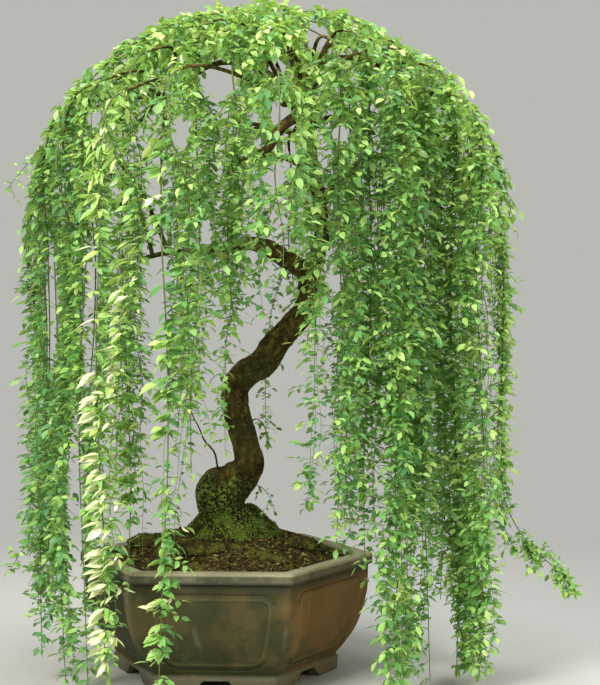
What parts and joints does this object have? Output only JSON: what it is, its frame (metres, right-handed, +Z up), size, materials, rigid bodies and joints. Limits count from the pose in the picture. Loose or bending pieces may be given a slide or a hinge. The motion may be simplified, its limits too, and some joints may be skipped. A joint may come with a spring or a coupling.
{
  "type": "weeping willow bonsai",
  "caption": "Weeping bonsai tree with a curved trunk and long hanging leafy stems, in a hexagonal unglazed clay pot with moss and soil.",
  "frame": {"origin": "on the surface that the pot's feet stand on, under the middle of the whole tree's outline; the pot's axis stands 68.6 mm to the -X side of it and 4.6 mm to the -Y side", "axes": "+Z up along the pot's axis, +X to the right as the tree is seen from its front, +Y to its back"},
  "size_m": [0.5608, 0.4502, 0.6672],
  "materials": {
    "clay": "matte",
    "net": "matte",
    "wire": "satin",
    "grit": "matte",
    "soil": "matte",
    "moss": "matte",
    "bark": "matte",
    "leaf": "satin"
  },
  "bodies": {
    "root": {"crown_spray_1": "leaf", "crown_spray_10": "leaf", "crown_spray_11": "leaf", "crown_spray_12": "leaf", "crown_spray_13": "leaf", "crown_spray_2": "leaf", "crown_spray_3": "leaf", "crown_spray_4": "leaf", "crown_spray_5": "leaf", "crown_spray_6": "leaf", "crown_spray_7": "leaf", "crown_spray_8": "leaf", "crown_spray_9": "leaf", "drain_mesh": "net", "drainage_grit": "grit", "hanging_stem_back_1": "leaf", "hanging_stem_back_2": "leaf", "hanging_stem_back_3": "leaf", "hanging_stem_back_4": "leaf", "hanging_stem_back_5": "leaf", "hanging_stem_back_6": "leaf", "hanging_stem_back_7": "leaf", "hanging_stem_front_1": "leaf", "hanging_stem_front_2": "leaf", "hanging_stem_front_3": "leaf", "hanging_stem_front_4": "leaf", "hanging_stem_front_5": "leaf", "hanging_stem_front_6": "leaf", "hanging_stem_front_7": "leaf", "hanging_stem_front_8": "leaf", "hanging_stem_front_9": "leaf", "hanging_stem_left_1": "leaf", "hanging_stem_left_2": "leaf", "hanging_stem_left_3": "leaf", "hanging_stem_left_4": "leaf", "hanging_stem_left_5": "leaf", "hanging_stem_left_6": "leaf", "hanging_stem_left_7": "leaf", "hanging_stem_left_8": "leaf", "hanging_stem_right_1": "leaf", "hanging_stem_right_2": "leaf", "hanging_stem_right_3": "leaf", "hanging_stem_right_4": "leaf", "hanging_stem_right_5": "leaf", "hanging_stem_right_6": "leaf", "hanging_stem_right_7": "leaf", "hanging_stem_right_8": "leaf", "hanging_stem_right_9": "leaf", "hanging_stem_right_stray": "leaf", "mesh_clip": "wire", "moss_collar": "moss", "moss_pad_back": "moss", "moss_pad_front": "moss", "moss_pad_left": "moss", "moss_pad_right": "moss", "pot": "clay", "soil": "soil", "trunk": "bark"}
  },
  "joints": []
}
